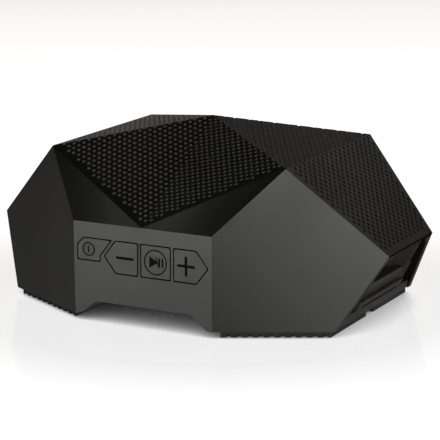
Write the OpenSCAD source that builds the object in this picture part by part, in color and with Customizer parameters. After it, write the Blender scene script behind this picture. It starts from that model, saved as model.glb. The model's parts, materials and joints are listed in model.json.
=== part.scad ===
// Portable speaker with a faceted body: a moulded housing, a perforated grille over the top,
// a row of four keys in the front panel and a port flap in the rear panel.
// +X runs along the body, -Y faces the key panel and +Z is up, with the feet standing on z = 0.

/* [Body] */
// Length of the body along X
length = 140; // [120:1:170]
// Depth of the body along Y, from the front panel to the rear panel
depth = 95.2; // [80:0.2:116]
// Height of the top point above the housing's lower edge
height = 57.8; // [54:0.2:70]
// Wall of the housing
wall = 2.2; // [1.8:0.1:2.8]
// Height of the housing's lower edge above the floor
foot_h = 2.2; // [1.8:0.1:4]

/* [Facets] */
// Width of the flat front and rear panels
panel_w = 49; // [48:0.5:59]
// Height of the flat front and rear panels
panel_h = 30; // [28:0.5:32]
// Distance of the shoulder corners from the end of the body, along X
shoulder_in = 28.3; // [26:0.1:31]
// Distance of the shoulder corners from the panel, along Y
shoulder_back = 15.7; // [14:0.1:17]
// Height of the shoulder corners
shoulder_h = 49.6; // [48:0.1:51]
// Width of the end edge, along Y
end_w = 35.4; // [32:0.2:38]
// Height of the end edge
end_h = 22.3; // [20:0.1:24]
// Distance of the lower corners from the end of the body, along X
corner_in = 12.3; // [10:0.1:14]

/* [Grille] */
// Thickness of the grille
grille_t = 1.2; // [0.8:0.1:1.6]
// Thickness of the dust cloth behind the grille
cloth_t = 0.3; // [0.2:0.1:0.5]
// Thickness of the ledge that carries the grille
ledge_t = 1.5; // [1.2:0.1:2]
// Width of the ledge that carries the grille
ledge_w = 2.6; // [2:0.1:3.5]
// Strap across each open end, under the grille: how far in it starts
strap_in = 8; // [7:0.1:9]
// Its width
strap_w = 3; // [2:0.1:4]

/* [Keys] */
// Height of the three large keys
key_h = 10; // [8:0.5:11]
// Height of the power key
power_h = 6.8; // [6:0.2:8]
// Width of the multi key
multi_w = 10.1; // [9:0.1:11]
// Width of a volume key's straight part
arrow_w = 7.6; // [7:0.1:8]
// Length of a volume key's point
arrow_tip = 3.9; // [3:0.1:4.5]
// Width of the bars of panel between keys
key_bar = 1.55; // [1.5:0.05:2]
// Margin between the key row and the panel's side edges
key_side = 1.5; // [1.2:0.1:2.5]
// Height of the key row's middle above the housing's lower edge
key_z = 19.7; // [18:0.1:20]
// Gap around each key
key_gap = 0.4; // [0.2:0.05:0.45]
// Travel of a key
key_travel = 0.6; // [0.4:0.05:0.7]
// Width of the engraved strokes on the keys
stroke_w = 0.9; // [0.6:0.1:1.2]
// Depth of the engraved strokes on the keys
stroke_d = 0.35; // [0.2:0.05:0.6]

/* [Underside] */
// Thickness of the base plate
base_t = 2.2; // [1.8:0.1:3]
// Height of the channel under the base
arch_h = 4.6; // [4:0.1:6]
// Width of the channel at its flat roof
arch_roof_w = 31; // [28:0.5:34]
// Width of the channel at its mouth
arch_w = 47.6; // [44:0.2:47.8]
// Bore of the tripod insert, the minor diameter of a 1/4-20 thread
tripod_bore_d = 5.2; // [5:0.05:5.5]
// Outer diameter of the tripod insert
tripod_d = 10; // [9:0.5:11]
// Length of the tripod insert
tripod_l = 7; // [6:0.5:8]
// Spacing of the ribs on the feet
rib_pitch = 2.94; // [2.4:0.02:3.6]
// Height of the ribs on the feet
rib_h = 0.9; // [0.6:0.1:1.2]

/* [Ends] */
// Distance of the sill's face behind the end opening
sill_in = 2; // [2:0.1:2.4]
// Width of the sill that the speaker box puts in each end opening
sill_w = 44; // [42:0.5:45]
// Height of that sill above the housing's lower edge
sill_h = 11; // [10:0.1:11.5]
// Distance of the speaker box's face behind the end opening, over the sill
box_in = 5; // [4.6:0.1:5]
// Width of the port over the sill
port_w = 22; // [16:0.5:24]
// Distance of the two fins from the middle
fin_y = 15; // [14:0.5:16]
// Thickness of a fin
fin_t = 1.6; // [1.2:0.1:2]
// Distance of the speaker box's sloping face below the end of the grille
air_gap = 11.5; // [11:0.1:12]
// Height of the rail along the foot of each end opening
rail_h = 6.1; // [5.6:0.1:6.6]
// Width of that rail
rail_w = 34; // [28:1:36]

/* [Drivers] */
// Outside diameter of a driver's flange
driver_d = 36; // [34:0.5:36]
// Height of the speaker box's top above the housing's lower edge
box_h = 41.7; // [41:0.1:43]
// Thickness of the speaker box's walls
box_t = 2.2; // [1.8:0.1:2.6]
// Travel of a cone each way
cone_travel = 1; // [0.5:0.1:1.2]

/* [Battery] */
// Diameter of a cell
cell_d = 18.5; // [18:0.1:18.6]
// Length of a cell
cell_l = 65; // [64:0.5:66]
// Gap between the two cells
cell_space = 5.5; // [5:0.1:6]
// Height of the cells' middle above the housing's lower edge
cell_h = 26.5; // [26:0.1:27]

/* [Ports] */
// Width of the port flap
flap_w = 26; // [24:0.5:28]
// Height of the port flap
flap_h = 9; // [8.6:0.1:9.4]
// Thickness of the port flap
flap_t = 2; // [1.6:0.1:2.2]
// Height of the flap's lower edge above the housing's lower edge
flap_z = 9.5; // [9:0.1:10]
// Gap between the flap and its recess
flap_gap = 0.3; // [0.25:0.05:0.4]

/* [Hidden] */
$fn = 48;

shell_grey = "#3c3c3e";
grille_black = "#161514";
plastic_black = "#232120";
rubber_black = "#1c1b1b";
board_green = "#1f4a33";
steel = "#b9bcc0";

big = 2 * length;
half_l = length / 2;
half_d = depth / 2;
edge_z = foot_h;
fit = 0.05;
joint_gap = 0.2;
seat_t = grille_t + cloth_t;
roof_t = seat_t + ledge_t;
floor_z = edge_z + base_t;

// Corners of the front right quarter
apex = [0, 0, edge_z + height];
panel_mid = [0, -half_d, edge_z + panel_h];
panel_top = [panel_w / 2, -half_d, edge_z + panel_h];
panel_foot = [panel_w / 2, -half_d, edge_z];
shoulder = [half_l - shoulder_in, shoulder_back - half_d, edge_z + shoulder_h];
end_top = [half_l, -end_w / 2, edge_z + end_h];
side_n = cross(end_top - panel_top, shoulder - panel_top);
corner_x = half_l - corner_in;
corner_y = -half_d - (side_n[0] * (corner_x - panel_top[0]) - side_n[2] * panel_h) / side_n[1];
corner = [corner_x, corner_y, edge_z];

// The facets, each as three points in the order that turns its normal outwards
side_facet = [panel_top, end_top, shoulder];
lower_facet = [panel_foot, corner, panel_top];
panel_facet = [flip_x(panel_foot), panel_foot, panel_top];
slope_facet = [flip_x(panel_top), panel_top, shoulder];
valley_facet = [panel_mid, shoulder, apex];
top_facet = [apex, shoulder, flip_y(shoulder)];
end_facet = [shoulder, end_top, flip_y(end_top)];
bay_facet = [end_top, corner, flip_y(corner)];
rim_facet = [panel_mid, shoulder, shoulder + [0, 0, 1]];
hip_facet = [shoulder, end_top, shoulder + [0, 0, 1]];

// Keys, laid out leftwards from the plus key's point
key_row_z = edge_z + key_z;
tip_run = arrow_tip / (key_h / 2);
bar_run = key_bar * sqrt(1 + tip_run * tip_run);
plus_x = panel_w / 2 - key_side - arrow_tip - arrow_w;
multi_x = plus_x - key_bar - multi_w;
minus_x = multi_x - key_bar;
minus_tip_x = minus_x - arrow_w - arrow_tip;
power_x = key_side - panel_w / 2;
power_edge_x = minus_tip_x - bar_run;
power_drop = key_h / 2 - power_h;
power_chamfer = 2.2;
power_mid = [power_x + 3.9, key_h / 2 - power_h / 2];
minus_mid = [minus_x - arrow_w / 2 - 0.6, 0];
multi_mid = [multi_x + multi_w / 2, 0];
plus_mid = [plus_x + arrow_w / 2 + 0.3, 0];
power_outline = [
    [power_x, power_drop], [power_edge_x, power_drop], [power_edge_x, 0],
    [power_edge_x + arrow_tip, key_h / 2], [power_x + power_chamfer, key_h / 2],
    [power_x, key_h / 2 - power_chamfer]
];
minus_outline = [
    [minus_x - arrow_w, -key_h / 2], [minus_x, -key_h / 2], [minus_x, key_h / 2],
    [minus_x - arrow_w, key_h / 2], [minus_tip_x, 0]
];
multi_outline = [
    [multi_x, -key_h / 2], [multi_x + multi_w, -key_h / 2],
    [multi_x + multi_w, key_h / 2], [multi_x, key_h / 2]
];
plus_outline = [
    [plus_x, -key_h / 2], [plus_x + arrow_w, -key_h / 2], [plus_x + arrow_w + arrow_tip, 0],
    [plus_x + arrow_w, key_h / 2], [plus_x, key_h / 2]
];
key_outlines = [power_outline, minus_outline, multi_outline, plus_outline];
key_mids = [power_mid, minus_mid, multi_mid, plus_mid];

// Stack behind the keys, as distances behind the panel's outer face
flange_y = wall + 0.1;
flange_t = 0.8;
flange_lap = 0.6;
plunger_d = 3;
plunger_y = flange_y + flange_t + 0.8;
membrane_y = plunger_y + key_travel + 0.1;
membrane_t = 0.5;
dome_y = membrane_y + membrane_t;
dome_h = 1;
dome_d = 4.4;
key_board_y = dome_y + dome_h;
key_board_t = 1.2;
key_board_w = panel_w - 2;
key_board_z = [key_row_z - key_h / 2 - 3.4, key_row_z + key_h / 2 + 4.4];
stand_d = 3.6;
stand_at = [
    [power_x + 3.5, -key_h / 2 - 0.1], [multi_x - key_bar / 2, key_h / 2 + 2.7],
    [plus_x + arrow_w + arrow_tip - 1.4, -key_h / 2 - 1.2]
];
pilot_d = 1.5;
small_screw_d = 1.4;
small_head_d = 2.8;
small_head_t = 1;

// Screws that hold the base and the speaker box
screw_d = 2.4;
screw_hole_d = 2.8;
screw_pilot_d = 2.5;
head_d = 4.4;
head_t = 1.2;
boss_d = 6.4;
boss_h = 12;
boss_share = 0.25;
boss_lap = 0.8;
boss_at = panel_foot + boss_share * (corner - panel_foot)
    - (wall + boss_d / 2 - boss_lap) * facet_normal(lower_facet);
box_boss_d = 5.6;
box_boss_h = 8;
box_boss_lap = 3.2;
bay_n = facet_normal(bay_facet);
box_foot_x = corner_x - (sill_in + box_t) / bay_n[0];
box_boss_at = [box_foot_x - box_boss_d / 2 + box_boss_lap, 18];

// Drivers, each in a frame whose z axis points out of the speaker box's sloping face
end_n = facet_normal(end_facet);
tilt = atan2(end_n[0], end_n[2]);
driver_low = [end_top[0] - air_gap * end_n[0], end_top[2] - air_gap * end_n[2]];
driver_reach = (edge_z + box_h - driver_low[1]) / sin(tilt);
driver_run = driver_reach - driver_d / 2 - 0.8;
driver_at = [driver_low[0] - driver_run * cos(tilt), 0, driver_low[1] + driver_run * sin(tilt)];
basket_r = driver_d / 2 - 3.4;
basket_t = 0.7;
basket_h = 8.6;
flange_plate_t = 1;
cone_r = driver_d / 2 - 7.2;
surround_t = 0.4;
roll_r = (basket_r - basket_t - 0.4 - cone_r) / 2;
coil_r = driver_d / 6;
yoke_r = coil_r + 2.5;
yoke_h = 6.2;
yoke_wall = 1.6;
pole_r = coil_r - 0.7;
coil_t = 0.4;
screw_ring_r = driver_d / 2 - 1.6;

// Battery, its cradle and clamp
cell_x = (cell_d + cell_space) / 2;
cell_z = edge_z + cell_h;
cradle_w = 2 * cell_x + cell_d + 1;
cradle_l = 40;
cradle_z = cell_z - cell_d / 2 - 1.6;
cradle_h = 8;
leg_d = 6;
leg_at = [11.5, 12];
clamp_l = 12;
clamp_top = cell_z + cell_d / 2 + 1.6;

// Main board and its sockets
arch_z = edge_z + arch_h;
shelf_z = arch_z + base_t;
board_t = 1.6;
board_z = shelf_z + 2.6;
board_w = 44;
board_back_y = half_d - wall - flap_t - flap_gap - 0.9;
board_l = 25;
board_screw_at = [13, 3.5];
usb_x = -6.5;
usb_size = [7.6, 7.4, 2.7];
audio_x = 6.5;
audio_size = [8, 12, 5];
audio_nose_d = 6;
audio_bore_d = 3.6;
port_block_t = 2;
port_block_side = 2.4;

// Feet
foot_inset = 1.5;
foot_x = panel_w / 2 + 1.5;
foot_split = 2.8;

function flip_x(p) = [-p[0], p[1], p[2]];
function flip_y(p) = [p[0], -p[1], p[2]];
function facet_normal(f) = let (n = cross(f[1] - f[0], f[2] - f[0])) n / norm(n);
function edge_normal(a, b) = let (d = b - a) [d[1], -d[0]] / norm(d);
function grow(pts, by) = let (n = len(pts)) [
    for (i = [0 : n - 1])
        let (
            before = edge_normal(pts[(i + n - 1) % n], pts[i]),
            after = edge_normal(pts[i], pts[(i + 1) % n])
        )
        pts[i] + by * (before + after) / (1 + before * after)
];
function ease(t) = (1 - cos(180 * t)) / 2;
// Outline of the channel's roof, raised by a given amount
function arch_curve(rise) = let (steps = 12, run = (arch_w - arch_roof_w) / 2) [
    for (side = [-1, 1], i = [0 : steps])
        let (t = side < 0 ? i / steps : 1 - i / steps)
        [side * (arch_w / 2 - run * t), arch_h * ease(t) + rise]
];

module ends() {
    children();
    mirror([1, 0, 0]) children();
}

module sides() {
    children();
    mirror([0, 1, 0]) children();
}

module quarters() {
    ends() sides() children();
}

// A large slab between two heights
module slab(low, high) {
    translate([-big / 2, -big / 2, low])
        cube([big, big, high - low]);
}

// All the space outside a facet, with the facet moved inwards
module beyond(facet, inset = 0) {
    n = facet_normal(facet);
    translate(facet[0] - inset * n)
        rotate([0, acos(n[2]), atan2(n[1], n[0])])
            translate([-big, -big, 0])
                cube([2 * big, 2 * big, big]);
}

// The space above the facets that carry the grille
module above(inset) {
    ends() beyond(top_facet, inset);
    ends() beyond(end_facet, inset);
    sides() intersection() {
        beyond(valley_facet, inset);
        mirror([1, 0, 0]) beyond(valley_facet, inset);
    }
}

// The space outside the panels, slopes and side facets
module beside(inset) {
    quarters() beyond(side_facet, inset);
    quarters() beyond(lower_facet, inset);
    sides() beyond(slope_facet, inset);
    sides() beyond(panel_facet, inset);
}

module past_ends(inset) {
    ends() beyond(bay_facet, inset);
}

module body() {
    difference() {
        slab(edge_z, edge_z + height + 1);
        above(0);
        beside(0);
        past_ends(0);
    }
}

// The room inside the walls, open below and at both ends
module room(side_inset, roof_inset, low = 0) {
    difference() {
        slab(low, edge_z + height + 1);
        above(roof_inset);
        beside(side_inset);
    }
}

// Upright prism on the grille's outline, its ends moved inwards by their own amount
module window(inset, end_inset) {
    difference() {
        translate([end_inset - half_l, -half_d, 0])
            cube([length - 2 * end_inset, depth, edge_z + height + 2]);
        quarters() beyond(rim_facet, inset);
        quarters() beyond(hip_facet, inset);
    }
}

// Turns an outline drawn as (x, z) into a prism that starts at y and runs back from there
module panel_prism(y, depth_y) {
    translate([0, y + depth_y, 0])
        rotate([90, 0, 0])
            linear_extrude(depth_y)
                children();
}

module panel_pin(at, y, depth_y, d) {
    translate([at[0], y, at[1]])
        rotate([-90, 0, 0])
            cylinder(h = depth_y, d = d);
}

module arch_air() {
    translate([0, 0, edge_z])
        panel_prism(-half_d - 1, depth + 2)
            polygon(concat([[-arch_w / 2, -1]], arch_curve(0), [[arch_w / 2, -1]]));
}

module stands() {
    for (at = stand_at)
        translate([0, 0, key_row_z])
            panel_pin(at, wall - 0.2 - half_d, key_board_y - wall + 0.2, stand_d);
}

module port_block() {
    block_w = flap_w + 2 * (flap_gap + port_block_side);
    block_y = half_d - flap_t - flap_gap - port_block_t;
    translate([-block_w / 2, block_y, edge_z + flap_z - flap_gap - port_block_side])
        cube([block_w, half_d - wall + 0.4 - block_y, flap_h + 2 * (flap_gap + port_block_side)]);
}

module port_recess() {
    translate([-flap_w / 2 - flap_gap, half_d - flap_t - flap_gap, edge_z + flap_z - flap_gap])
        cube([flap_w + 2 * flap_gap, flap_t + flap_gap + 1, flap_h + 2 * flap_gap]);
    flap_axis(flap_w + 2 * (1.2 + flap_gap), 1.5);
    translate([usb_x - usb_size[0] / 2 - flap_gap, half_d - 8, board_z + board_t - flap_gap])
        cube([usb_size[0] + 2 * flap_gap, 7, usb_size[2] + 2 * flap_gap]);
    translate([audio_x, half_d - 8, board_z + board_t + audio_size[2] / 2])
        rotate([-90, 0, 0])
            cylinder(h = 7, d = audio_nose_d + 2 * flap_gap);
}

// A rod along the flap's hinge
module flap_axis(l, d) {
    translate([-l / 2, half_d - flap_t / 2, edge_z + flap_z + flap_h - flap_t / 2])
        rotate([0, 90, 0])
            cylinder(h = l, d = d);
}

// What the housing leaves open under the grille: all but a strap across each end
module grille_opening(gap) {
    difference() {
        window(ledge_w + gap, -1);
        ends() translate([half_l - strap_in - gap, -half_d, edge_z])
            cube([strap_w + 2 * gap, depth, height]);
    }
}

module housing() {
    color(shell_grey) difference() {
        union() {
            difference() {
                body();
                room(wall, roof_t);
                intersection() {
                    window(0, -1);
                    above(seat_t);
                }
                grille_opening(0);
            }
            quarters() translate([boss_at[0], boss_at[1], floor_z])
                cylinder(h = boss_h, d = boss_d);
            stands();
            port_block();
        }
        arch_air();
        for (outline = key_outlines)
            translate([0, 0, key_row_z])
                panel_prism(-half_d - 1, wall + 1.5)
                    polygon(grow(outline, key_gap));
        for (at = stand_at)
            translate([0, 0, key_row_z])
                panel_pin(at, wall + 0.8 - half_d, key_board_y, pilot_d);
        quarters() translate([boss_at[0], boss_at[1], floor_z - 1])
            cylinder(h = boss_h, d = screw_pilot_d);
        port_recess();
    }
}

module grille() {
    color(grille_black) difference() {
        intersection() {
            body();
            window(joint_gap, 0);
        }
        difference() {
            slab(0, edge_z + height + 1);
            above(grille_t);
        }
    }
}

module dust_cloth() {
    color("#0b0b0b") difference() {
        intersection() {
            body();
            window(joint_gap + 0.6, 1);
        }
        above(grille_t);
        difference() {
            slab(0, edge_z + height + 1);
            above(seat_t);
        }
    }
}

// Solid of the speaker box's outline, moved inwards
module box_form(inset, low) {
    difference() {
        slab(low, edge_z + box_h - inset);
        ends() beyond(end_facet, air_gap + inset);
        past_ends(sill_in + inset);
        difference() {
            past_ends(box_in + inset);
            translate([-big / 2, inset - sill_w / 2, low - 1])
                cube([big, sill_w - 2 * inset, edge_z + sill_h - inset - low + 1]);
        }
    }
}

// Fins that stand on the sill and reach up to the grille
module box_fins() {
    difference() {
        sides() translate([-big / 2, fin_y, edge_z + sill_h - 1])
            cube([big, fin_t, height]);
        translate([3.5 - corner_x, -half_d, 0])
            cube([2 * corner_x - 7, depth, 2 * height]);
        past_ends(sill_in - 0.5);
        above(seat_t + joint_gap);
        beside(wall + joint_gap);
        difference() {
            above(roof_t + joint_gap);
            grille_opening(joint_gap);
        }
    }
}

// Wide port over the sill
module box_port() {
    translate([-big / 2, -port_w / 2, edge_z + sill_h])
        cube([big, port_w, 3.2]);
}

module at_driver(side) {
    mirror([side < 0 ? 1 : 0, 0, 0])
        translate(driver_at)
            rotate([0, tilt, 0])
                children();
}

module driver_holes(r, low, high) {
    for (a = [45 : 90 : 315])
        rotate(a)
            translate([screw_ring_r, 0, low])
                cylinder(h = high - low, r = r);
}

module speaker_box() {
    color(plastic_black) difference() {
        intersection() {
            union() {
                difference() {
                    box_form(0, floor_z + 0.1);
                    box_form(box_t, 0);
                    box_port();
                }
                box_fins();
                quarters() translate([box_boss_at[0], box_boss_at[1], floor_z + 0.1])
                    cylinder(h = box_boss_h, d = box_boss_d);
            }
            union() {
                room(wall + joint_gap, roof_t + joint_gap);
                box_fins();
            }
        }
        for (side = [-1, 1])
            at_driver(side) {
                translate([0, 0, -box_t - 1])
                    cylinder(h = box_t + 2, r = basket_r + 0.3);
                driver_holes(pilot_d / 2, -box_t - 1, 1);
            }
        quarters() translate([box_boss_at[0], box_boss_at[1], 0])
            cylinder(h = floor_z + box_boss_h - 1, d = screw_pilot_d);
    }
}

module base_cover() {
    rail_in = 0.5;
    rail_t = 1.2;
    lip_h = 3.6;
    slot = [28, 0.8];
    color(plastic_black) difference() {
        union() {
            difference() {
                slab(edge_z, floor_z);
                beside(wall + joint_gap);
                past_ends(rail_in);
            }
            difference() {
                translate([0, 0, edge_z])
                    panel_prism(wall + joint_gap - half_d, depth - 2 * (wall + joint_gap))
                        polygon(concat([[-arch_w / 2, 0]], arch_curve(base_t), [[arch_w / 2, 0]]));
                beside(wall + joint_gap);
            }
            intersection() {
                difference() {
                    union() {
                        translate([-big / 2, -rail_w / 2, edge_z])
                            cube([big, rail_w, rail_h]);
                        translate([-big / 2, -end_w * 0.7, edge_z])
                            cube([big, end_w * 1.4, lip_h]);
                    }
                    past_ends(rail_in);
                    beside(wall + joint_gap);
                }
                past_ends(rail_in + rail_t);
            }
            translate([0, 0, arch_z])
                cylinder(h = tripod_l + 1.5, d = tripod_d + 5);
            for (x = [-1, 1], y = [0, 1])
                translate([x * board_screw_at[0], board_stand_y(y), shelf_z - 0.5])
                    cylinder(h = board_z - shelf_z + 0.5, d = 4.4);
        }
        arch_air();
        translate([-big / 2, -slot[0] / 2, edge_z + lip_h - 0.2])
            cube([big, slot[0], slot[1]]);
        translate([0, 0, arch_z - 1])
            cylinder(h = tripod_l + 1, d = tripod_d + 2 * fit);
        for (x = [-1, 1], y = [0, 1])
            translate([x * board_screw_at[0], board_stand_y(y), shelf_z - 0.6])
                cylinder(h = board_z - shelf_z + 1, d = pilot_d);
        quarters() screw_hole([boss_at[0], boss_at[1], edge_z]);
        quarters() screw_hole([box_boss_at[0], box_boss_at[1], edge_z]);
        quarters() screw_hole([leg_at[0], leg_at[1], arch_z]);
    }
}

function board_stand_y(i) = board_back_y - board_screw_at[1] - i * (board_l - 2 * board_screw_at[1]);

// Clearance hole with a recess for the head, opening downwards
module screw_hole(at) {
    translate([at[0], at[1], at[2] - 1]) {
        cylinder(h = base_t + 2, d = screw_hole_d);
        cylinder(h = 1 + head_t, d = head_d + 0.4);
    }
}

// A screw pointing up, with its head's lower face at the given point
module screw(at, l) {
    translate(at) difference() {
        union() {
            cylinder(h = head_t, d = head_d);
            cylinder(h = l, d = screw_d);
        }
        translate([0, 0, -1]) {
            for (a = [0, 90])
                rotate(a)
                    translate([-1.2, -0.25, 0])
                        cube([2.4, 0.5, 1.7]);
        }
    }
}

// A small screw along +z, with its head above z = 0
module small_screw(l) {
    difference() {
        union() {
            cylinder(h = small_head_t, d = small_head_d);
            translate([0, 0, -l])
                cylinder(h = l + 0.2, d = small_screw_d);
        }
        for (a = [0, 90])
            rotate(a)
                translate([-0.8, -0.2, small_head_t - 0.5])
                    cube([1.6, 0.4, 1]);
    }
}

module base_seal() {
    seal_w = 1.2;
    seal_h = 0.8;
    color(rubber_black) difference() {
        slab(floor_z, floor_z + seal_h);
        beside(wall + joint_gap);
        difference() {
            slab(0, floor_z + 2);
            beside(wall + joint_gap + seal_w);
        }
        past_ends(box_in + box_t + joint_gap);
        quarters() translate([boss_at[0], boss_at[1], 0])
            cylinder(h = floor_z + 2, d = boss_d + 0.4);
        translate([-arch_w / 2 - 1, -half_d, 0])
            cube([arch_w + 2, depth, floor_z + 2]);
    }
}

// One ribbed pad, in the front right quarter
module foot() {
    pad_t = foot_h - rib_h;
    foot_end = corner_x - foot_inset;
    count = floor((foot_end - foot_x) / rib_pitch);
    difference() {
        translate([foot_x, -half_d, 0])
            cube([half_l - foot_x, half_d - foot_split, foot_h]);
        quarters() beyond(lower_facet, foot_inset);
        ends() beyond([flip_y(corner), corner, corner - [0, 0, 1]], foot_inset);
        for (i = [0 : count])
            translate([foot_x + (i + 0.5) * rib_pitch, -half_d, -1])
                cube([rib_pitch / 2, half_d, rib_h + 1]);
    }
}

module tripod_insert() {
    color("#b08d3e") translate([0, 0, arch_z])
        difference() {
            cylinder(h = tripod_l, d = tripod_d);
            translate([0, 0, -1])
                cylinder(h = tripod_l + 2, d = tripod_bore_d);
        }
}

module base_screws() {
    color(steel) quarters() screw([boss_at[0], boss_at[1], edge_z], 10);
}

module box_screws() {
    color(steel) quarters() screw([box_boss_at[0], box_boss_at[1], edge_z], 8);
}

module cradle_screws() {
    color(steel) quarters() screw([leg_at[0], leg_at[1], arch_z], 8);
}

module driver_screws() {
    color(steel) for (side = [-1, 1])
        at_driver(side)
            for (a = [45 : 90 : 315])
                rotate(a)
                    translate([screw_ring_r, 0, flange_plate_t])
                        small_screw(3.6);
}

// A key: its cap in the panel, a flange behind the wall and a plunger
module key(outline, mid) {
    translate([0, 0, key_row_z]) {
        panel_prism(-half_d, flange_y + 0.01)
            polygon(outline);
        panel_prism(flange_y - half_d, flange_t)
            polygon(grow(outline, flange_lap));
        panel_pin(mid, flange_y - half_d, plunger_y - flange_y, plunger_d);
    }
}

module stroke(mid, size) {
    translate([mid[0] - size[0] / 2, -half_d - 1, key_row_z + mid[1] - size[1] / 2])
        cube([size[0], 1 + stroke_d, size[1]]);
}

module ring_stroke(mid, r, w) {
    translate([0, 0, key_row_z]) difference() {
        panel_pin(mid, -half_d - 1, 1 + stroke_d, 2 * (r + w / 2));
        panel_pin(mid, -half_d - 2, 3 + stroke_d, 2 * (r - w / 2));
    }
}

module power_key() {
    color(shell_grey) difference() {
        key(power_outline, power_mid);
        ring_stroke(power_mid, 2.05, stroke_w / 2);
        stroke(power_mid + [0, 0.1], [stroke_w / 2, 2.2]);
    }
}

module minus_key() {
    color(shell_grey) difference() {
        key(minus_outline, minus_mid);
        stroke(minus_mid, [6.2, stroke_w]);
    }
}

module multi_key() {
    color(shell_grey) difference() {
        key(multi_outline, multi_mid);
        ring_stroke(multi_mid, 3.85, stroke_w / 2);
        translate([0, 0, key_row_z])
            panel_prism(-half_d - 1, 1 + stroke_d)
                polygon([for (p = [[-2.2, -1.9], [0.9, 0], [-2.2, 1.9]]) multi_mid + p]);
        for (x = [1.35, 2.45])
            stroke(multi_mid + [x, 0], [0.6, 3]);
    }
}

module plus_key() {
    color(shell_grey) difference() {
        key(plus_outline, plus_mid);
        stroke(plus_mid, [6.2, stroke_w]);
        stroke(plus_mid, [stroke_w, 6.2]);
    }
}

module key_board_form(y, t, margin) {
    translate([margin - key_board_w / 2, y - half_d, key_board_z[0] + margin])
        cube([key_board_w - 2 * margin, t, key_board_z[1] - key_board_z[0] - 2 * margin]);
}

module key_membrane() {
    color(rubber_black) difference() {
        key_board_form(membrane_y, membrane_t, 0.8);
        for (at = stand_at)
            translate([0, 0, key_row_z])
                panel_pin(at, -half_d, key_board_y + 5, stand_d + 0.6);
    }
}

module key_board() {
    color(board_green) difference() {
        key_board_form(key_board_y, key_board_t, 0);
        for (at = stand_at)
            translate([0, 0, key_row_z])
                panel_pin(at, -half_d, key_board_y + 5, pilot_d + 0.3);
    }
}

module dome_switches() {
    color(steel) for (mid = key_mids)
        translate([0, 0, key_row_z])
            panel_pin(mid, dome_y - half_d, dome_h, dome_d);
}

module key_board_screws() {
    color(steel) for (at = stand_at)
        translate([at[0], key_board_y + key_board_t - half_d, key_row_z + at[1]])
            rotate([-90, 0, 0])
                small_screw(3.8);
}

module main_board() {
    color(board_green) difference() {
        translate([-board_w / 2, board_back_y - board_l, board_z])
            cube([board_w, board_l, board_t]);
        for (x = [-1, 1], y = [0, 1])
            translate([x * board_screw_at[0], board_stand_y(y), board_z - 1])
                cylinder(h = board_t + 2, d = pilot_d + 0.3);
    }
}

module main_board_screws() {
    color(steel) for (x = [-1, 1], y = [0, 1])
        translate([x * board_screw_at[0], board_stand_y(y), board_z + board_t])
            small_screw(3.8);
}

module on_board(x, y, size) {
    translate([x - size[0] / 2, board_back_y - board_l + y, board_z + board_t])
        cube(size);
}

module radio_module() {
    color("#c9ccd0") on_board(-16.5, 5, [8, 12, 2]);
}

module amplifier_chip() {
    color("#202224") on_board(-2, 5, [7, 7, 1]);
}

module capacitors() {
    color("#8f959b") for (y = [6, 13])
        translate([17.5, board_back_y - board_l + y, board_z + board_t])
            cylinder(h = 5.4, d = 5);
}

module usb_socket() {
    color(steel) translate([usb_x, half_d - flap_t - flap_gap - 0.3, board_z + board_t])
        difference() {
            translate([-usb_size[0] / 2, -usb_size[1], 0])
                cube(usb_size);
            translate([0.4 - usb_size[0] / 2, -5, 0.4])
                cube([usb_size[0] - 0.8, 6, usb_size[2] - 0.8]);
        }
}

module audio_socket() {
    front_y = half_d - flap_t - flap_gap - port_block_t - 0.3;
    color("#191919") translate([audio_x, front_y, board_z + board_t])
        difference() {
            union() {
                translate([-audio_size[0] / 2, -audio_size[1], 0])
                    cube(audio_size);
                translate([0, -0.5, audio_size[2] / 2])
                    rotate([-90, 0, 0])
                        cylinder(h = 0.5 + port_block_t, d = audio_nose_d - 1);
            }
            translate([0, 1 - audio_size[1], audio_size[2] / 2])
                rotate([-90, 0, 0])
                    cylinder(h = audio_size[1] + 4, d = audio_bore_d);
        }
}

module cell_form(side, extra, l) {
    translate([side * cell_x, -l / 2, cell_z])
        rotate([-90, 0, 0])
            cylinder(h = l, d = cell_d + 2 * extra);
}

module cell(side) {
    color("#2f5fa8") union() {
        cell_form(side, 0, cell_l - 1);
        translate([side * cell_x, cell_l / 2 - 1.5, cell_z])
            rotate([-90, 0, 0])
                cylinder(h = 1.5, d = 6);
    }
}

module cell_cradle() {
    color(plastic_black) difference() {
        union() {
            translate([-cradle_w / 2, -cradle_l / 2, cradle_z])
                cube([cradle_w, cradle_l, cradle_h]);
            quarters() translate([leg_at[0], leg_at[1], shelf_z + 0.02])
                cylinder(h = cradle_z - shelf_z + 1, d = leg_d);
        }
        for (side = [-1, 1])
            cell_form(side, fit, cradle_l + 2);
        quarters() translate([leg_at[0], leg_at[1], shelf_z - 1])
            cylinder(h = 8, d = screw_pilot_d);
        sides() translate([0, 4, cradle_z + 1])
            cylinder(h = cradle_h, d = pilot_d);
    }
}

module cell_clamp() {
    color(plastic_black) difference() {
        translate([-cell_x, -clamp_l / 2, cradle_z + cradle_h + 0.02])
            cube([2 * cell_x, clamp_l, clamp_top - cradle_z - cradle_h]);
        for (side = [-1, 1])
            cell_form(side, fit, clamp_l + 2);
        sides() translate([0, 4, cradle_z])
            cylinder(h = height, d = pilot_d + 0.3);
    }
}

module clamp_screws() {
    color(steel) sides() translate([0, 4, clamp_top + 0.02])
        small_screw(clamp_top - cradle_z - cradle_h + 5);
}

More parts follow.
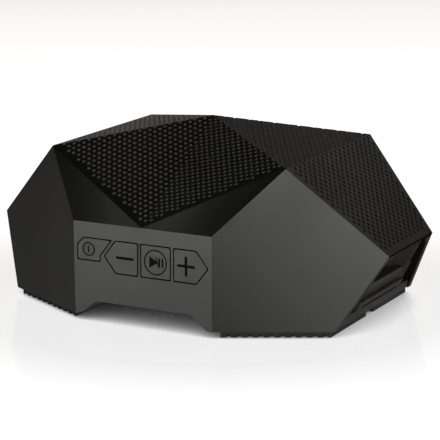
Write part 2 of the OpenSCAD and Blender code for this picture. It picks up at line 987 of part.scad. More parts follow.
// Pressed frame of a driver
module basket() {
    rotate_extrude() polygon([
        [basket_r - basket_t - 0.2, flange_plate_t], [driver_d / 2, flange_plate_t],
        [driver_d / 2, 0], [basket_r, 0], [basket_r, -1.6], [yoke_r + 0.6, -basket_h],
        [yoke_r - yoke_wall + 0.3, -basket_h], [yoke_r - yoke_wall + 0.3, basket_t - basket_h],
        [yoke_r + 0.3, basket_t - basket_h], [basket_r - basket_t, -1.3],
        [basket_r - basket_t, 0.4]
    ]);
}

module basket_part() {
    color(steel) difference() {
        basket();
        driver_holes(pilot_d / 2 + 0.15, -2, flange_plate_t + 1);
        for (a = [0 : 60 : 300])
            rotate(a)
                translate([yoke_r + 3.2, 0, -6.6])
                    rotate([0, 90, 0])
                        cylinder(h = 8, d = 4.4, center = true);
    }
}

module yoke() {
    color("#6b6e72") rotate_extrude() polygon([
        [0, -basket_h - yoke_h], [yoke_r, -basket_h - yoke_h], [yoke_r, -basket_h],
        [yoke_r - yoke_wall, -basket_h], [yoke_r - yoke_wall, yoke_wall - basket_h - yoke_h],
        [0, yoke_wall - basket_h - yoke_h]
    ]);
}

module driver_magnet() {
    color("#9a9da1") translate([0, 0, yoke_wall - basket_h - yoke_h])
        cylinder(h = yoke_h - yoke_wall + 0.2, r = pole_r);
}

// Paper cone on its former
module cone() {
    neck = coil_r + 0.2;
    low = 1 - basket_h;
    color("#2a2a2a") rotate_extrude() polygon([
        [coil_r - 0.25, low - 3.6], [coil_r, low - 3.6], [coil_r, low], [neck, low],
        [cone_r - 1.4, -0.5], [cone_r, -0.5], [cone_r, 0], [cone_r - 1.6, 0],
        [coil_r - 0.25, low + 0.6]
    ]);
}

module voice_coil() {
    color("#b5662f") translate([0, 0, -basket_h - 2.4])
        difference() {
            cylinder(h = 2.6, r = coil_r + coil_t);
            translate([0, 0, -1])
                cylinder(h = 5, r = coil_r);
        }
}

module dust_cap() {
    dome = 2.6;
    rim = coil_r + 0.9;
    neck_z = 1.6 - basket_h;
    rise = neck_z * (1 - (rim - coil_r + 0.25) / (cone_r - 1.35 - coil_r)) + 0.02;
    color("#1d1d1d") rotate_extrude() polygon(concat(
        [for (i = [0 : 8]) [rim * cos(i * 11.25), rise + dome * sin(i * 11.25)]],
        [for (i = [8 : -1 : 0]) [(rim - 0.4) * cos(i * 11.25), rise + (dome - 0.4) * sin(i * 11.25)]]
    ));
}

// Half roll of rubber between the cone's rim and the flange
module surround() {
    mid = cone_r + roll_r;
    color(rubber_black) rotate_extrude() polygon(concat(
        [[cone_r - 1.4, 0], [cone_r, 0]],
        [for (i = [0 : 8]) [mid - (roll_r - surround_t) * cos(i * 22.5),
            flange_plate_t * i / 8 + (roll_r - surround_t) * sin(i * 22.5)]],
        [[basket_r, flange_plate_t], [basket_r, flange_plate_t + surround_t]],
        [for (i = [8 : -1 : 0]) [mid - roll_r * cos(i * 22.5),
            surround_t + flange_plate_t * i / 8 + roll_r * sin(i * 22.5)]],
        [[cone_r - 1.4, surround_t]]
    ));
}

module port_flap() {
    color(rubber_black) difference() {
        union() {
            translate([-flap_w / 2, half_d - flap_t, edge_z + flap_z])
                cube([flap_w, flap_t, flap_h - flap_t / 2]);
            flap_axis(flap_w, flap_t);
            flap_axis(flap_w + 2.2, 1.4);
        }
        translate([-5, half_d, edge_z + flap_z])
            rotate([0, 90, 0])
                cylinder(h = 10, r = 1.1);
    }
}

housing();
grille();
dust_cloth();
speaker_box();
base_cover();
base_seal();
color(rubber_black) mirror([1, 0, 0]) foot();  // foot_front_left
color(rubber_black) foot();  // foot_front_right
color(rubber_black) mirror([1, 0, 0]) mirror([0, 1, 0]) foot();  // foot_rear_left
color(rubber_black) mirror([0, 1, 0]) foot();  // foot_rear_right
tripod_insert();
base_screws();
box_screws();
driver_screws();
power_key();
minus_key();
multi_key();
plus_key();
key_membrane();
key_board();
dome_switches();
key_board_screws();
main_board();
main_board_screws();
radio_module();
amplifier_chip();
capacitors();
usb_socket();
audio_socket();
cell(-1);  // cell_left
cell(1);  // cell_right
cell_cradle();
cell_clamp();
cradle_screws();
clamp_screws();
at_driver(-1) basket_part();  // left_basket
at_driver(-1) yoke();  // left_yoke
at_driver(-1) driver_magnet();  // left_magnet
at_driver(-1) surround();  // left_surround
at_driver(-1) cone();  // left_cone
at_driver(-1) dust_cap();  // left_dust_cap
at_driver(-1) voice_coil();  // left_voice_coil
at_driver(1) basket_part();  // right_basket
at_driver(1) yoke();  // right_yoke
at_driver(1) driver_magnet();  // right_magnet
at_driver(1) surround();  // right_surround
at_driver(1) cone();  // right_cone
at_driver(1) dust_cap();  // right_dust_cap
at_driver(1) voice_coil();  // right_voice_coil
port_flap();
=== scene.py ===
"""Looks for a faceted portable speaker: mouldings, drilled grille, finishes, light and camera."""

import json
import math

import bmesh
import bpy
from mathutils import Matrix, Vector


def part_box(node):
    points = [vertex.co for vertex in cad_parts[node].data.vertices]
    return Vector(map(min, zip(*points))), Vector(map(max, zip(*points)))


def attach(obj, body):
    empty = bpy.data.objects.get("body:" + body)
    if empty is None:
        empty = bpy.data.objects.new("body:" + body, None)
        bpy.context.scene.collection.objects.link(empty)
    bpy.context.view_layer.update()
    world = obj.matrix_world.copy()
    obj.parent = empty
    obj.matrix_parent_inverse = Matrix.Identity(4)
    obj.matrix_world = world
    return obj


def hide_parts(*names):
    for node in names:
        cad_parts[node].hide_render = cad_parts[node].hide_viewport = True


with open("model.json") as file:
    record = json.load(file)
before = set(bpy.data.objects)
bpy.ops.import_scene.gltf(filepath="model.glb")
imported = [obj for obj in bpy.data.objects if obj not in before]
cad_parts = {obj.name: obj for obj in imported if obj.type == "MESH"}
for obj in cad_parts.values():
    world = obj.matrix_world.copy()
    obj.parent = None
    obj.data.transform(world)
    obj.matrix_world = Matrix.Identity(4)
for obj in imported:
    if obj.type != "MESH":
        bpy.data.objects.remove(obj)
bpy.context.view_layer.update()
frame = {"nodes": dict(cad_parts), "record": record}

MM = 0.001
HALF_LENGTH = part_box("housing")[1].x
HALF_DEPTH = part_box("housing")[1].y
APEX_Z = 60.0 * MM
SHOULDER = Vector((41.7, 31.9, 51.8)) * MM
PANEL_Z = 32.2 * MM
END_Z = 24.5 * MM
END_HALF = 17.7 * MM
KEYS = ("power_key", "minus_key", "multi_key", "plus_key")


# ---------------------------------------------------------------- finishes

def new_group(name, inputs, outputs):
    """An empty shader node group with number inputs and the given (name, kind) outputs."""
    group = bpy.data.node_groups.new(name, "ShaderNodeTree")
    for label, value in inputs:
        socket = group.interface.new_socket(label, in_out="INPUT", socket_type="NodeSocketFloat")
        socket.default_value = value
    for label, kind in outputs:
        group.interface.new_socket(label, in_out="OUTPUT", socket_type=kind)
    return group, group.nodes.new("NodeGroupInput"), group.nodes.new("NodeGroupOutput")


def grain_group():
    """Fine spark-eroded grain, with slow drifts of tone: a height, a tone mask and a roughness shift."""
    group, given, result = new_group(
        "moulding_grain",
        [("Grain Scale", 3200.0), ("Drift Scale", 38.0)],
        [("Height", "NodeSocketFloat"), ("Tone", "NodeSocketFloat"), ("Sheen", "NodeSocketFloat")])
    nodes, links = group.nodes, group.links
    place = nodes.new("ShaderNodeTexCoord")
    fine = nodes.new("ShaderNodeTexNoise")
    fine.inputs["Detail"].default_value = 3.0
    fine.inputs["Roughness"].default_value = 0.6
    drift = nodes.new("ShaderNodeTexNoise")
    drift.inputs["Detail"].default_value = 4.0
    links.new(place.outputs["Object"], fine.inputs["Vector"])
    links.new(place.outputs["Object"], drift.inputs["Vector"])
    links.new(given.outputs["Grain Scale"], fine.inputs["Scale"])
    links.new(given.outputs["Drift Scale"], drift.inputs["Scale"])
    both = nodes.new("ShaderNodeMath")
    both.operation = "MULTIPLY"
    links.new(fine.outputs["Fac"], both.inputs[0])
    links.new(drift.outputs["Fac"], both.inputs[1])
    links.new(fine.outputs["Fac"], result.inputs["Height"])
    links.new(drift.outputs["Fac"], result.inputs["Tone"])
    links.new(both.outputs[0], result.inputs["Sheen"])
    return group


def edge_highlight_group():
    """A painted highlight on the moulding's eased edges, broken up by a coarse noise."""
    group, given, result = new_group(
        "painted_edge_highlight", [("Amount", 0.5)], [("Mask", "NodeSocketFloat")])
    nodes, links = group.nodes, group.links
    edge = nodes.new("ShaderNodeAttribute")
    edge.attribute_name = "edge"
    place = nodes.new("ShaderNodeTexCoord")
    patch = nodes.new("ShaderNodeTexNoise")
    patch.inputs["Scale"].default_value = 260.0
    patch.inputs["Detail"].default_value = 3.0
    links.new(place.outputs["Object"], patch.inputs["Vector"])
    lift = nodes.new("ShaderNodeMapRange")
    lift.inputs["From Min"].default_value = 0.3
    lift.inputs["From Max"].default_value = 0.62
    lift.inputs["To Min"].default_value = 0.45
    links.new(patch.outputs["Fac"], lift.inputs["Value"])
    strength = nodes.new("ShaderNodeMath")
    strength.operation = "MULTIPLY"
    links.new(edge.outputs["Fac"], strength.inputs[0])
    links.new(lift.outputs["Result"], strength.inputs[1])
    scaled = nodes.new("ShaderNodeMath")
    scaled.operation = "MULTIPLY"
    links.new(strength.outputs[0], scaled.inputs[0])
    links.new(given.outputs["Amount"], scaled.inputs[1])
    links.new(scaled.outputs[0], result.inputs["Mask"])
    return group


def brush_group():
    """Drawn or turned metal: long streaks as a height and a roughness shift."""
    group, given, result = new_group(
        "metal_streaks",
        [("Streak Scale", 2600.0)],
        [("Height", "NodeSocketFloat"), ("Sheen", "NodeSocketFloat")])
    nodes, links = group.nodes, group.links
    place = nodes.new("ShaderNodeTexCoord")
    stretch = nodes.new("ShaderNodeMapping")
    stretch.inputs["Scale"].default_value = (0.06, 0.06, 1.0)
    streaks = nodes.new("ShaderNodeTexNoise")
    streaks.inputs["Detail"].default_value = 4.0
    links.new(place.outputs["Object"], stretch.inputs["Vector"])
    links.new(stretch.outputs["Vector"], streaks.inputs["Vector"])
    links.new(given.outputs["Streak Scale"], streaks.inputs["Scale"])
    links.new(streaks.outputs["Fac"], result.inputs["Height"])
    links.new(streaks.outputs["Fac"], result.inputs["Sheen"])
    return group


GRAIN = grain_group()
PAINTED_HIGHLIGHT = edge_highlight_group()
STREAKS = brush_group()


def place_group(tree, group, **values):
    node = tree.nodes.new("ShaderNodeGroup")
    node.node_tree = group
    for label, value in values.items():
        node.inputs[label.replace("_", " ")].default_value = value
    return node


def blank(name, roughness, metallic=0.0, specular=0.5):
    """A material with only its shader: (material, tree, shader)."""
    material = bpy.data.materials.new(name)
    material.use_nodes = True
    tree = material.node_tree
    shader = tree.nodes["Principled BSDF"]
    shader.inputs["Roughness"].default_value = roughness
    shader.inputs["Metallic"].default_value = metallic
    shader.inputs["Specular IOR Level"].default_value = specular
    return material, tree, shader


def mixed(tree, mask, low, high):
    """A colour that runs from low to high with the mask."""
    mix = tree.nodes.new("ShaderNodeMix")
    mix.data_type = "RGBA"
    tree.links.new(mask, mix.inputs["Factor"])
    for socket, value in ((mix.inputs[6], low), (mix.inputs[7], high)):
        if isinstance(value, bpy.types.NodeSocket):
            tree.links.new(value, socket)
        else:
            socket.default_value = (*value, 1.0)
    return mix.outputs[2]


def ranged(tree, value, low, high, start=0.3, stop=0.7):
    """The value, spread from start..stop to low..high."""
    spread = tree.nodes.new("ShaderNodeMapRange")
    spread.inputs["From Min"].default_value = start
    spread.inputs["From Max"].default_value = stop
    spread.inputs["To Min"].default_value = low
    spread.inputs["To Max"].default_value = high
    tree.links.new(value, spread.inputs["Value"])
    return spread.outputs["Result"]


def bumped(tree, shader, height, distance, strength=1.0):
    bump = tree.nodes.new("ShaderNodeBump")
    bump.inputs["Strength"].default_value = strength
    bump.inputs["Distance"].default_value = distance
    tree.links.new(height, bump.inputs["Height"])
    tree.links.new(bump.outputs["Normal"], shader.inputs["Normal"])


def shade(colour, factor):
    return tuple(min(1.0, c * factor) for c in colour)


def moulded(name, colour, roughness, grain=3200.0, depth=0.02 * MM, highlight_amount=0.5, drift=0.12, specular=0.5):
    """Textured plastic or rubber, slightly uneven in tone, with a painted highlight on its eased edges."""
    material, tree, shader = blank(name, roughness, specular=specular)
    texture = place_group(tree, GRAIN, Grain_Scale=grain)
    highlight_mask = place_group(tree, PAINTED_HIGHLIGHT, Amount=highlight_amount)
    tone = mixed(tree, ranged(tree, texture.outputs["Tone"], 0.0, 1.0),
                 shade(colour, 1 - drift), shade(colour, 1 + drift))
    # painted highlight: the eased edges turn towards six times the colour, as if catching the light
    tree.links.new(mixed(tree, highlight_mask.outputs["Mask"], tone, shade(colour, 6.0)),
                   shader.inputs["Base Color"])
    tree.links.new(ranged(tree, texture.outputs["Sheen"], roughness - 0.06, roughness + 0.06, 0.15, 0.4),
                   shader.inputs["Roughness"])
    bumped(tree, shader, texture.outputs["Height"], depth, 0.6)
    return material


def metal(name, colour, roughness, streak=2600.0):
    material, tree, shader = blank(name, roughness, metallic=1.0)
    texture = place_group(tree, STREAKS, Streak_Scale=streak)
    tone = mixed(tree, texture.outputs["Sheen"], shade(colour, 0.8), shade(colour, 1.1))
    tree.links.new(tone, shader.inputs["Base Color"])
    tree.links.new(ranged(tree, texture.outputs["Sheen"], roughness - 0.1, roughness + 0.12),
                   shader.inputs["Roughness"])
    bumped(tree, shader, texture.outputs["Height"], 0.01 * MM, 0.5)
    return material


def woven(name, colour):
    """Fine plain weave: two crossed sets of threads."""
    material, tree, shader = blank(name, 0.95, specular=0.1)
    place = tree.nodes.new("ShaderNodeTexCoord")
    sets = []
    for direction in ("X", "Y"):
        threads = tree.nodes.new("ShaderNodeTexWave")
        threads.bands_direction = direction
        threads.inputs["Scale"].default_value = 900.0
        threads.inputs["Distortion"].default_value = 0.4
        tree.links.new(place.outputs["Object"], threads.inputs["Vector"])
        sets.append(threads.outputs["Fac"])
    weave = tree.nodes.new("ShaderNodeMath")
    weave.operation = "MULTIPLY"
    tree.links.new(sets[0], weave.inputs[0])
    tree.links.new(sets[1], weave.inputs[1])
    tree.links.new(mixed(tree, weave.outputs[0], shade(colour, 0.5), shade(colour, 1.6)),
                   shader.inputs["Base Color"])
    bumped(tree, shader, weave.outputs[0], 0.06 * MM)
    return material


def ringed(name, colour, roughness, metallic, scale, direction, depth):
    """Fine rings or turns along one axis, for a thread or a winding."""
    material, tree, shader = blank(name, roughness, metallic=metallic)
    place = tree.nodes.new("ShaderNodeTexCoord")
    turns = tree.nodes.new("ShaderNodeTexWave")
    turns.bands_direction = direction
    turns.inputs["Scale"].default_value = scale
    tree.links.new(place.outputs["Object"], turns.inputs["Vector"])
    tree.links.new(mixed(tree, turns.outputs["Fac"], shade(colour, 0.45), shade(colour, 1.1)),
                   shader.inputs["Base Color"])
    bumped(tree, shader, turns.outputs["Fac"], depth)
    return material


def circuit(name, colour):
    """Solder mask over copper: cells of slightly lighter green, glossy."""
    material, tree, shader = blank(name, 0.28)
    place = tree.nodes.new("ShaderNodeTexCoord")
    areas = tree.nodes.new("ShaderNodeTexVoronoi")
    areas.distance = "MANHATTAN"
    areas.inputs["Scale"].default_value = 420.0
    tree.links.new(place.outputs["Object"], areas.inputs["Vector"])
    tracks = ranged(tree, areas.outputs["Distance"], 0.0, 1.0, 0.35, 0.42)
    tree.links.new(mixed(tree, tracks, colour, shade(colour, 1.7)), shader.inputs["Base Color"])
    bumped(tree, shader, tracks, 0.03 * MM)
    return material


SHELL_GREY = (0.0367, 0.0359, 0.0328)
finishes = {
    # the amount given to each moulding sets how strongly its eased edges are painted lighter as a highlight
    "shell": moulded("shell_plastic", SHELL_GREY, 0.42, highlight_amount=0.9),
    "key": moulded("key_plastic", SHELL_GREY, 0.42, highlight_amount=0.45),
    "grille": moulded("grille_plastic", (0.0085, 0.0078, 0.0072), 0.36, highlight_amount=0.0, specular=0.4),
    # painted shade: a near-black, dull colour for the cut key symbols and the walls of the gap round each key,
    # in place of the shade inside them
    "groove_shade": moulded("painted_groove_shade", (0.007, 0.007, 0.007), 0.8, highlight_amount=0.0, specular=0.08),
    # painted light: hole walls lighter than the grille, standing in for light falling on the far walls of the
    # holes
    "lit_bore": moulded("painted_lit_bore", (0.075, 0.071, 0.067), 0.42, highlight_amount=0.0),
    "cloth": woven("acoustic_cloth", (0.006, 0.006, 0.006)),
    "inner_plastic": moulded("chassis_plastic", (0.060, 0.051, 0.048), 0.5, highlight_amount=0.3),
    "rubber": moulded("soft_rubber", (0.020, 0.019, 0.018), 0.72, grain=1800.0, depth=0.03 * MM, highlight_amount=0.25),
    "brass": ringed("turned_brass", (0.62, 0.43, 0.17), 0.3, 1.0, 250.0, "Z", 0.12 * MM),
    "steel": metal("plated_steel", (0.55, 0.56, 0.58), 0.32),
    "board": circuit("solder_mask", (0.012, 0.075, 0.032)),
    "chip": moulded("chip_epoxy", (0.018, 0.018, 0.020), 0.55),
    "can": metal("drawn_can", (0.72, 0.73, 0.75), 0.28, streak=1800.0),
    "magnet": metal("nickel_plate", (0.50, 0.50, 0.52), 0.22),
    "cone": moulded("paper_cone", (0.030, 0.030, 0.031), 0.85, grain=1100.0, depth=0.09 * MM, drift=0.3),
    "coil": ringed("copper_winding", (0.60, 0.24, 0.09), 0.3, 1.0, 1500.0, "Z", 0.05 * MM),
    "cell_wrap": moulded("cell_sleeve", (0.020, 0.10, 0.34), 0.22, drift=0.06, highlight_amount=0.2),
}
for part in frame["record"]["subparts"]:
    mesh = frame["nodes"][part["node"]].data
    mesh.materials.clear()
    mesh.materials.append(finishes[part["material_slot"]])
slots = {part["node"]: part["material_slot"] for part in frame["record"]["subparts"]}
riders = {node: body for body, nodes in frame["record"]["behaviour"]["bodies"].items() for node in nodes}


# ---------------------------------------------------------------- softened mouldings

def keep_piece(mesh, name, node):
    """Makes the mesh the piece that stands for a node, with its body and finish."""
    piece = bpy.data.objects.new(name, mesh)
    bpy.context.scene.collection.objects.link(piece)
    mesh.materials.clear()
    mesh.materials.append(finishes[slots[node]])
    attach(piece, riders[node])
    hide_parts(node)
    return piece


def merged_copy(node):
    """The node's shape with its loose triangles joined into flat faces."""
    form = bmesh.new()
    form.from_mesh(frame["nodes"][node].data)
    bmesh.ops.remove_doubles(form, verts=form.verts, dist=2e-6)
    bmesh.ops.dissolve_limit(form, angle_limit=math.radians(0.4), verts=form.verts, edges=form.edges)
    return form


def rounded(form, edges, width, segments):
    made = bmesh.ops.bevel(form, geom=edges, offset=width, offset_type="OFFSET", segments=segments, profile=0.5,
                           affect="EDGES", clamp_overlap=True, material=-1)
    return made["faces"]


def settle_normals(mesh):
    """Keeps flat faces flat up to their rims, so that only the eased edges turn the light."""
    flags = [mark.value > 0.5 for mark in mesh.attributes["edge"].data]
    normals = [face.normal.copy() for face in mesh.polygons]
    areas = [face.area for face in mesh.polygons]
    around = [[] for _ in mesh.vertices]
    for face in mesh.polygons:
        for vert in face.vertices:
            around[vert].append(face.index)
    near, far = math.cos(math.radians(28)), math.cos(math.radians(75))
    settled = []
    for face in mesh.polygons:
        own = normals[face.index]
        for vert in face.vertices:
            flat = [q for q in around[vert] if not flags[q]
                    and normals[q].dot(own) > (far if flags[face.index] else near)]
            used = flat or [q for q in around[vert] if flags[q] and normals[q].dot(own) > 0.5]
            total = sum((normals[q] * areas[q] for q in used), Vector())
            settled.append(total.normalized() if total.length > 0 else own)
    mesh.shade_smooth()
    mesh.normals_split_custom_set(settled)


def in_groove(node, face):
    """True for the symbols cut into a key, and for the walls of the gap round a key."""
    middle = face.calc_center_median()
    depth = middle.y + HALF_DEPTH
    if node in KEYS:
        return 0.16 * MM < depth < 2.2 * MM
    return (node == "housing" and 0.35 * MM < depth < 2.1 * MM and abs(face.normal.y) < 0.1
            and abs(middle.x) < 23.8 * MM and 14 * MM < middle.z < 30 * MM)


def soften(node, width, corner=0.0, turn=12.0, shortest=0.4 * MM):
    """A copy of a moulding with eased edges; corner rounds the edges that run along Y first."""
    form = merged_copy(node)
    edge_mark = form.faces.layers.float.new("edge")
    if corner:
        upright = [e for e in form.edges if len(e.link_faces) == 2 and e.calc_face_angle(0) > math.radians(20)
                   and abs((e.verts[0].co - e.verts[1].co).normalized().y) > 0.999
                   and e.calc_length() > 1.2 * MM and min(v.co.y for v in e.verts) < -HALF_DEPTH + 0.1 * MM
                   and max(v.co.z for v in e.verts) > 12 * MM and abs(e.verts[0].co.x) < 24.2 * MM]
        rounded(form, upright, corner, 3)
    sharp = [e for e in form.edges if len(e.link_faces) == 2 and e.calc_face_angle(0) > math.radians(turn)
             and e.calc_length() > shortest]
    for face in rounded(form, sharp, width, 2):
        face[edge_mark] = 1.0
    form.faces.index_update()
    shaded = [face.index for face in form.faces if in_groove(node, face)]
    mesh = bpy.data.meshes.new(node + "_moulding")
    form.to_mesh(mesh)
    form.free()
    settle_normals(mesh)
    piece = keep_piece(mesh, node + "_moulding", node)
    # the cut symbols and the gap walls take the painted shade
    mesh.materials.append(finishes["groove_shade"])
    for number in shaded:
        mesh.polygons[number].material_index = 1
    return piece


soften("housing", 0.32 * MM, corner=0.55 * MM)
for key in KEYS:
    soften(key, 0.11 * MM, corner=0.5 * MM)
for node, width in (("speaker_box", 0.25), ("base_cover", 0.22), ("port_flap", 0.3), ("foot_front_left", 0.18),
                    ("foot_front_right", 0.18), ("foot_rear_left", 0.18), ("foot_rear_right", 0.18)):
    soften(node, width * MM)


# ---------------------------------------------------------------- drilled grille

PITCH = 1.882 * MM
ROW = 1.63 * MM
HOLE_R = 0.58 * MM
HOLE_SIDES = 10
BORDER = 1.25 * MM
SHEET = 1.25 * MM
SEAM = 0.2 * MM
END_RAKE = 0.69 * MM


def grille_outline():
    """Plan corners of the grille, anticlockwise."""
    quarter = [(0, HALF_DEPTH), (SHOULDER.x, SHOULDER.y), (HALF_LENGTH, END_HALF)]
    right = [(x, -y) for x, y in quarter] + quarter[::-1]
    left = [(-x, -y) for x, y in right[1:-1]]
    return [Vector(p) for p in right + left]


def grille_height(x, y):
    """Height of the faceted top over a point of the plan."""
    x, y = abs(x), abs(y)
    if x > SHOULDER.x:
        return SHOULDER.z + (END_Z - SHOULDER.z) * (x - SHOULDER.x) / (HALF_LENGTH - SHOULDER.x)
    if y * SHOULDER.x <= x * SHOULDER.y:
        return APEX_Z + (SHOULDER.z - APEX_Z) * x / SHOULDER.x
    fall = (PANEL_Z - APEX_Z) / HALF_DEPTH
    return APEX_Z + fall * y + (SHOULDER.z - APEX_Z - fall * SHOULDER.y) * x / SHOULDER.x


def edge_lines(outline):
    """Each side as a point and its inward normal."""
    lines = []
    for a, b in zip(outline, outline[1:] + outline[:1]):
        along = (b - a).normalized()
        lines.append((a, Vector((-along.y, along.x))))
    return lines


def room_to_edge(point, lines):
    return min((point - a).dot(n) for a, n in lines)


def drilled_grille():
    outline = grille_outline()
    lines = edge_lines(outline)
    form = bmesh.new()
    middle = Vector((0, 0))
    rim = []
    for i, corner in enumerate(outline):
        before, after = lines[i - 1][1], lines[i][1]
        inner = corner + SEAM * (before + after) / (1 + before.dot(after))
        rim.append(form.verts.new((inner.x, inner.y, 0)))
    for a, b in zip(rim, rim[1:] + rim[:1]):
        form.edges.new((a, b))
    rows = int(HALF_DEPTH / ROW) + 1
    columns = int(HALF_LENGTH / PITCH) + 1
    for j in range(-rows, rows):
        for i in range(-columns, columns + 1):
            spot = Vector(((i + 0.5 * (j % 2)) * PITCH, (j + 0.5) * ROW))
            if room_to_edge(spot, lines) > BORDER + HOLE_R:
                bmesh.ops.create_circle(form, cap_ends=False, segments=HOLE_SIDES, radius=HOLE_R,
                                        matrix=Matrix.Translation((spot.x, spot.y, 0)))
    bmesh.ops.triangle_fill(form, use_beauty=True, use_dissolve=False, edges=form.edges, normal=(0, 0, 1))
    creases = [(Vector((1, 0, 0)), 0.0), (Vector((1, 0, 0)), SHOULDER.x), (Vector((1, 0, 0)), -SHOULDER.x),
               (Vector((SHOULDER.y, SHOULDER.x, 0)).normalized(), 0.0),
               (Vector((SHOULDER.y, -SHOULDER.x, 0)).normalized(), 0.0)]
    for across, offset in creases:
        bmesh.ops.bisect_plane(form, geom=form.verts[:] + form.edges[:] + form.faces[:], dist=1e-7,
                               plane_co=across * offset, plane_no=across)
    for face in form.faces:
        if face.normal.z < 0:
            face.normal_flip()
    top = form.faces[:]
    below = bmesh.ops.extrude_face_region(form, geom=top, use_keep_orig=True)["geom"]
    lowered = [v for v in below if isinstance(v, bmesh.types.BMVert)]
    bmesh.ops.translate(form, verts=lowered, vec=(0, 0, -SHEET))
    for side in (-1, 1):
        end = [v for v in lowered if side * v.co.x > HALF_LENGTH - 0.3 * MM]
        bmesh.ops.translate(form, verts=end, vec=(-side * END_RAKE, 0, 0))
    for vert in form.verts:
        vert.co.z += grille_height(vert.co.x, vert.co.y)
    bmesh.ops.recalc_face_normals(form, faces=form.faces)
    form.faces.index_update()
    # walls of the holes between the shoulders take the lighter colour, a painted light on the bores
    bored = []
    for face in form.faces:
        spot = face.calc_center_median()
        if abs(face.normal.z) < 0.01 and abs(spot.x) < SHOULDER.x and room_to_edge(spot.xy, lines) > BORDER:
            bored.append(face.index)
    mesh = bpy.data.meshes.new("drilled_grille")
    form.to_mesh(mesh)
    form.free()
    piece = keep_piece(mesh, "drilled_grille", "grille")
    mesh.materials.append(finishes["lit_bore"])
    for number in bored:
        mesh.polygons[number].material_index = 1
    return piece


drilled_grille()


# ---------------------------------------------------------------- floor, light and camera

def floor_material():
    """White sweep: bright to look at, with a soft contact shade and a faint polish."""
    material, tree, shader = blank("pale_floor", 0.16)
    place = tree.nodes.new("ShaderNodeTexCoord")
    drift = tree.nodes.new("ShaderNodeTexNoise")
    drift.inputs["Scale"].default_value = 3.0
    tree.links.new(place.outputs["Object"], drift.inputs["Vector"])
    tree.links.new(mixed(tree, drift.outputs["Fac"], (0.79, 0.79, 0.79), (0.81, 0.81, 0.81)),
                   shader.inputs["Base Color"])
    contact = tree.nodes.new("ShaderNodeAmbientOcclusion")
    contact.samples = 16
    contact.inputs["Distance"].default_value = 0.06
    glow = tree.nodes.new("ShaderNodeEmission")
    reach = tree.nodes.new("ShaderNodeVectorMath")
    reach.operation = "LENGTH"
    tree.links.new(place.outputs["Object"], reach.inputs[0])
    brightness = tree.nodes.new("ShaderNodeMath")
    brightness.operation = "MULTIPLY"
    tree.links.new(ranged(tree, contact.outputs["AO"], 0.0, 1.06, 0.0, 0.5), brightness.inputs[0])
    # painted shade: the glow drops from 1.5 beyond 17 cm to 1.0 within 8 cm of the middle, darker round the
    # speaker
    tree.links.new(ranged(tree, reach.outputs["Value"], 1.0, 1.5, 0.08, 0.17), brightness.inputs[1])
    tree.links.new(brightness.outputs[0], glow.inputs["Strength"])
    polish = tree.nodes.new("ShaderNodeBsdfGlossy")
    polish.inputs["Roughness"].default_value = 0.12
    grazing = tree.nodes.new("ShaderNodeFresnel")
    grazing.inputs["IOR"].default_value = 1.45
    seen_floor = tree.nodes.new("ShaderNodeMixShader")
    tree.links.new(grazing.outputs[0], seen_floor.inputs[0])
    tree.links.new(glow.outputs[0], seen_floor.inputs[1])
    tree.links.new(polish.outputs[0], seen_floor.inputs[2])
    seen_by = tree.nodes.new("ShaderNodeLightPath")
    choice = tree.nodes.new("ShaderNodeMixShader")
    tree.links.new(seen_by.outputs["Is Camera Ray"], choice.inputs[0])
    tree.links.new(shader.outputs[0], choice.inputs[1])
    tree.links.new(seen_floor.outputs[0], choice.inputs[2])
    tree.links.new(choice.outputs[0], tree.nodes["Material Output"].inputs["Surface"])
    return material


def make_floor():
    form = bmesh.new()
    bmesh.ops.create_grid(form, x_segments=2, y_segments=2, size=4.0)
    mesh = bpy.data.meshes.new("floor")
    form.to_mesh(mesh)
    form.free()
    mesh.materials.append(floor_material())
    floor = bpy.data.objects.new("floor", mesh)
    bpy.context.scene.collection.objects.link(floor)
    return floor


def towards(azimuth, elevation):
    """Direction from the speaker; azimuth 0 is out of the key panel and 90 is +X."""
    a, e = math.radians(azimuth), math.radians(elevation)
    return Vector((math.sin(a) * math.cos(e), -math.cos(a) * math.cos(e), math.sin(e)))


def softbox(name, azimuth, elevation, distance, width, height, power, colour=(1, 1, 1)):
    lamp = bpy.data.lights.new(name, "AREA")
    lamp.shape = "RECTANGLE"
    lamp.size, lamp.size_y = width, height
    lamp.energy = power
    lamp.color = colour
    box = bpy.data.objects.new(name, lamp)
    back = towards(azimuth, elevation)
    box.location = Vector((0, 0, 0.03)) + back * distance
    box.rotation_mode = "QUATERNION"
    box.rotation_quaternion = back.to_track_quat("Z", "Y")
    box.visible_camera = False
    bpy.context.scene.collection.objects.link(box)
    return box


WARM = (1.0, 0.90, 0.82)
SOFTBOXES = [
    ("front_box", -15, 3, 0.7, 0.2, 0.12, 0.76),
    ("front_left_box", -30, 3, 0.7, 0.2, 0.12, 0.69),
    ("right_box", 45, 13, 0.7, 0.2, 0.12, 0.76),
    ("low_right_box", 60, 3, 0.7, 0.2, 0.12, 0.69),
    ("left_box", -120, 30, 1.2, 0.54, 0.2, 0.03),
    ("high_front_box", -42, 50, 1.2, 0.44, 0.3, 0.12),
    ("high_left_box", -74, 62, 1.2, 0.3, 0.3, 0.2),
    ("back_box", -150, 10, 1.2, 0.62, 0.4, 0.28, WARM),
    ("high_back_box", 166, 29, 1.2, 0.4, 0.24, 0.24, WARM),
    ("rear_right_box", 150, 4, 1.2, 0.62, 0.2, 2.0),
]
for settings in SOFTBOXES:
    softbox(*settings)

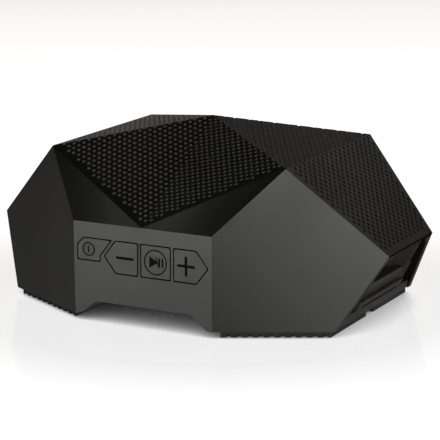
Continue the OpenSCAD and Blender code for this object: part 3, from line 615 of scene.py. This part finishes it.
floor_only = bpy.data.collections.new("floor_only")
floor_only.objects.link(make_floor())
SWEEP_CARDS = 6
FIRST_BOUNCE = 1.5
for number in range(SWEEP_CARDS):
    card = softbox("sweep_card_%d" % number, 60 * number + 28, 13, 1.6, 1.85, 0.85, 4.4)
    card.light_linking.receiver_collection = floor_only
    card.visible_diffuse = False
    card.data.use_nodes = True
    card_tree = card.data.node_tree
    travelled = card_tree.nodes.new("ShaderNodeLightPath")
    first_bounce = card_tree.nodes.new("ShaderNodeMath")
    first_bounce.operation = "LESS_THAN"
    first_bounce.inputs[1].default_value = FIRST_BOUNCE
    card_tree.links.new(travelled.outputs["Ray Depth"], first_bounce.inputs[0])
    card_tree.links.new(first_bounce.outputs[0], card_tree.nodes["Emission"].inputs["Strength"])

world = bpy.data.worlds.new("studio")
bpy.context.scene.world = world
world.use_nodes = True
world_tree = world.node_tree
surround = world_tree.nodes["Background"]
surround.inputs["Color"].default_value = (1, 1, 1, 1)
surround.inputs["Strength"].default_value = 0.004
seen = world_tree.nodes.new("ShaderNodeBackground")
seen.inputs["Strength"].default_value = 1.0
pick = world_tree.nodes.new("ShaderNodeMixShader")
path = world_tree.nodes.new("ShaderNodeLightPath")
world_tree.links.new(path.outputs["Is Camera Ray"], pick.inputs[0])
world_tree.links.new(surround.outputs[0], pick.inputs[1])
world_tree.links.new(seen.outputs[0], pick.inputs[2])
world_tree.links.new(pick.outputs[0], world_tree.nodes["World Output"].inputs[0])

bpy.context.scene.view_settings.view_transform = "Standard"

CAMERA_AT = Vector((290.41, -544.6, 169.97)) * MM
CAMERA_BACK = Vector((0.4553, -0.8604, 0.2289)).normalized()
CAMERA_ROLL = math.radians(-0.22)
SENSOR_WIDTH = 36.0
LENS_REACH = 1923.6 / 440.0
lens = bpy.data.cameras.new("camera")
lens.sensor_width = SENSOR_WIDTH
lens.lens = LENS_REACH * SENSOR_WIDTH
lens.clip_start, lens.clip_end = 0.05, 20.0
camera = bpy.data.objects.new("camera", lens)
bpy.context.scene.collection.objects.link(camera)
right = Vector((-CAMERA_BACK.y, CAMERA_BACK.x, 0)).normalized()
up = CAMERA_BACK.cross(right)
turned_right = math.cos(CAMERA_ROLL) * right + math.sin(CAMERA_ROLL) * up
turned_up = -math.sin(CAMERA_ROLL) * right + math.cos(CAMERA_ROLL) * up
turned = Matrix((turned_right, turned_up, CAMERA_BACK)).transposed().to_4x4()
camera.matrix_world = Matrix.Translation(CAMERA_AT) @ turned
bpy.context.scene.camera = camera
